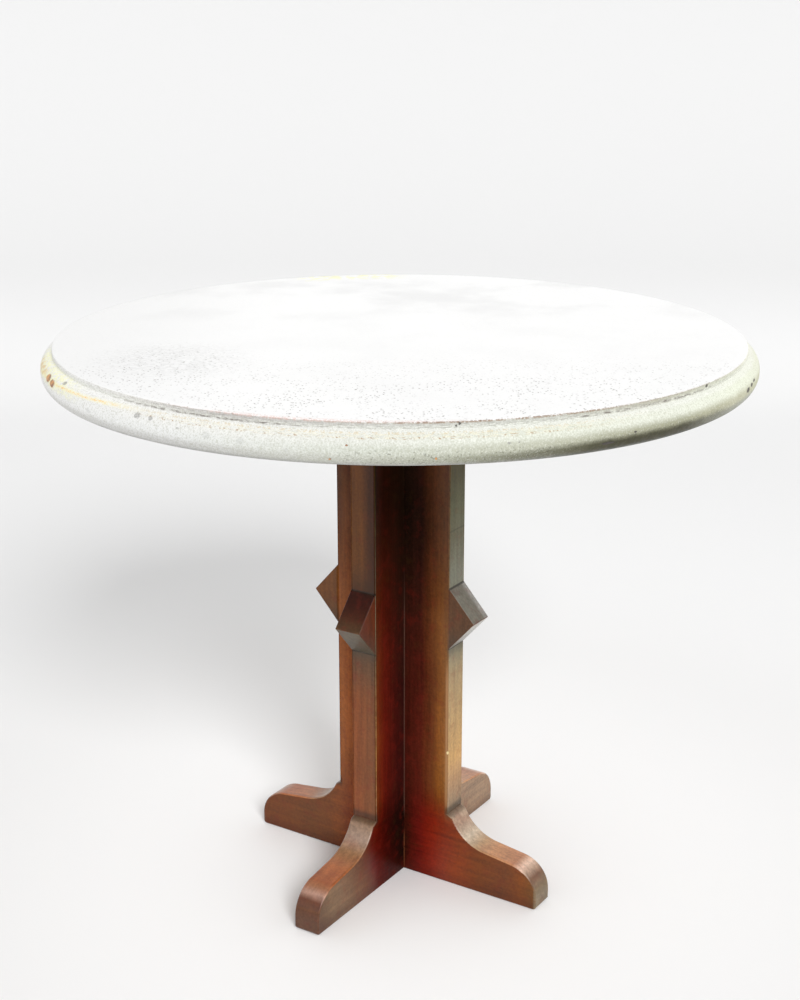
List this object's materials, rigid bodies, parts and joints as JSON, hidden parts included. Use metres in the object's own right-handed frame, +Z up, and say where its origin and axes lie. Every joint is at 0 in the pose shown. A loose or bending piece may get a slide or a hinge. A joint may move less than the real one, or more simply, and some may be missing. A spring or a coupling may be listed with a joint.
{
  "type": "round pedestal side table",
  "caption": "Round side table: a painted bullnose disc top on a cross-shaped wooden column with diamond blocks and scrolled feet.",
  "frame": {"origin": "on the floor, under the middle of the round top and on the column's axis", "axes": "+Z up, from the floor to the top; the arms of the column and the feet point along -Y (front), +X (right), +Y (back) and -X (left)"},
  "size_m": [0.6096, 0.6096, 0.508],
  "materials": {
    "white_paint": "worn matte white paint",
    "mahogany_stain": "satin varnish over red-brown stain",
    "bare_pine": "unfinished",
    "screw_steel": "zinc plated"
  },
  "bodies": {
    "root": {"tabletop_board_1": "white_paint", "tabletop_board_2": "white_paint", "tabletop_board_3": "white_paint", "tabletop_board_4": "white_paint", "tabletop_board_5": "white_paint", "cleat_left_right": "bare_pine", "cleat_front_back": "bare_pine", "upright_left_right": "mahogany_stain", "upright_front_back": "mahogany_stain", "diamond_front": "mahogany_stain", "diamond_right": "mahogany_stain", "diamond_back": "mahogany_stain", "diamond_left": "mahogany_stain", "foot_beam_left_right": "mahogany_stain", "foot_beam_front_back": "mahogany_stain", "screws_cleats_to_top": "screw_steel", "screws_cleats_to_column": "screw_steel", "screws_feet_to_column": "screw_steel"}
  },
  "joints": []
}
